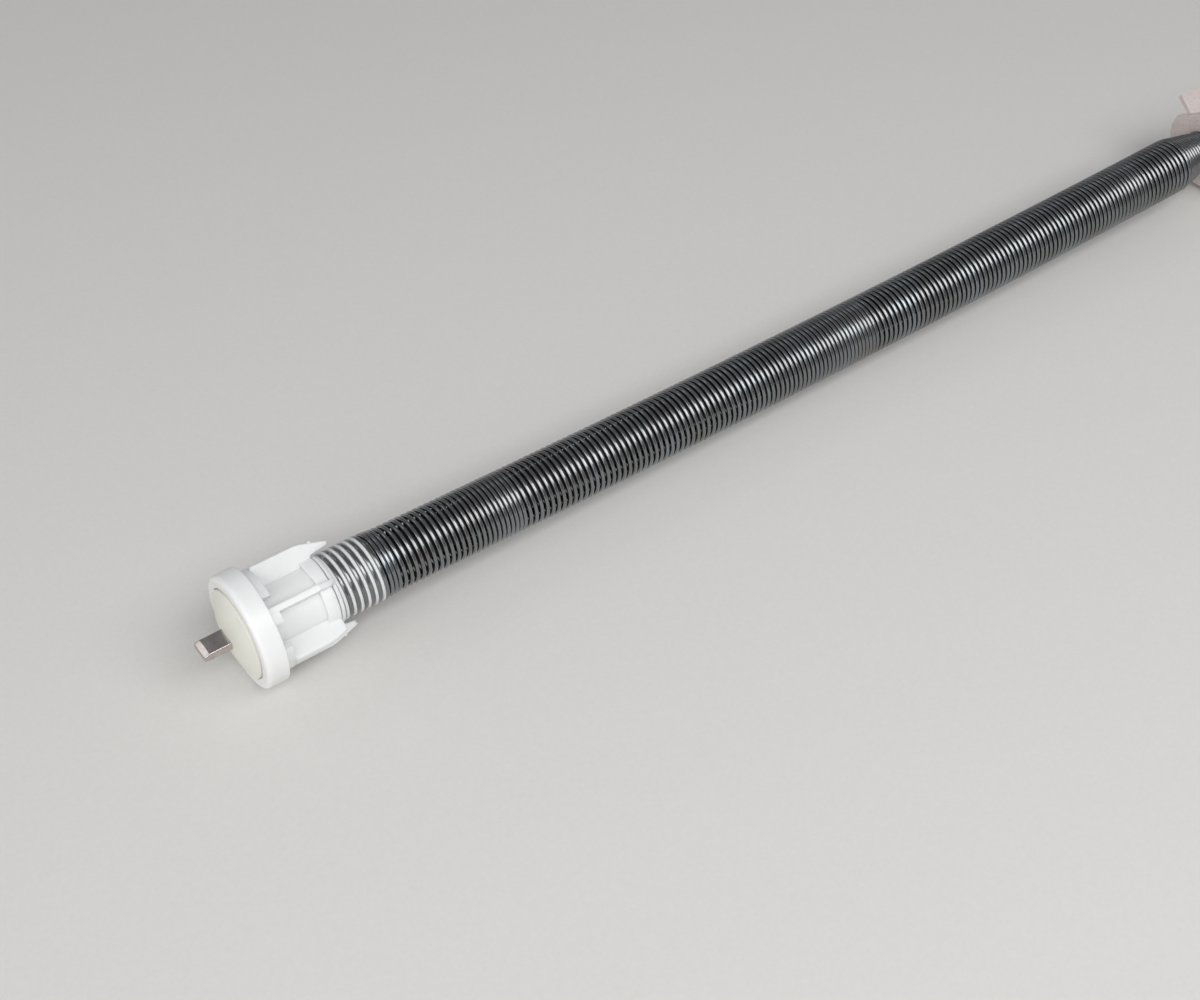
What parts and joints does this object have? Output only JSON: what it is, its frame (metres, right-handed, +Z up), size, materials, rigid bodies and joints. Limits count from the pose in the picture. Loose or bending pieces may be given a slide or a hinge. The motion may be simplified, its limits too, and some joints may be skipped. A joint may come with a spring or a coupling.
{
  "type": "roller blind spring",
  "caption": "Spring unit for a roller blind's tube: a long dark torsion spring between a white flanged crown with a flat drive pin and a pale far plug with sprung wings.",
  "frame": {"origin": "on the unit's axis, in the flange's rear face, which seats on the end of the blind's tube", "axes": "+X along the axis from the drive pin to the far plug, +Z up as the unit lies; the pin's wide faces look up and down"},
  "size_m": [0.3849, 0.032, 0.032],
  "materials": {
    "white_plastic": "satin moulded",
    "cream_plastic": "satin moulded",
    "bright_plate": "bright plated steel",
    "zinc_steel": "zinc plated",
    "spring_steel": "dark oiled spring wire",
    "pale_plastic": "natural, slightly translucent"
  },
  "bodies": {
    "stator": {"hub": "cream_plastic", "blade_pin": "bright_plate", "spool": "white_plastic", "spool_washer": "zinc_steel", "spool_screw": "zinc_steel", "main_spring": "spring_steel"},
    "crown": {"crown": "white_plastic"},
    "pawl_a": {"pawl_a": "white_plastic"},
    "pawl_b": {"pawl_b": "white_plastic"},
    "far_plug": {"far_plug": "pale_plastic"}
  },
  "joints": [
    {"name": "crown_spin", "type": "hinge", "parent": "stator", "child": "crown", "pos_m": [0, 0, 0], "axis": [1, 0, 0], "continuous": true},
    {"name": "pawl_a_swing", "type": "hinge", "parent": "crown", "child": "pawl_a", "pos_m": [-0.0025, -0.00582, 0.00838], "axis": [-1, 0, 0], "range_deg": [0, 10]},
    {"name": "pawl_b_swing", "type": "hinge", "parent": "crown", "child": "pawl_b", "pos_m": [-0.0025, 0.00582, -0.00838], "axis": [-1, 0, 0], "range_deg": [0, 10]},
    {"name": "plug_wind", "type": "hinge", "parent": "stator", "child": "far_plug", "pos_m": [0.35, 0, 0], "axis": [1, 0, 0], "range_deg": [0, 6390], "stiffness_Nm_per_rad": 0.0024, "deforming": ["main_spring"]}
  ]
}
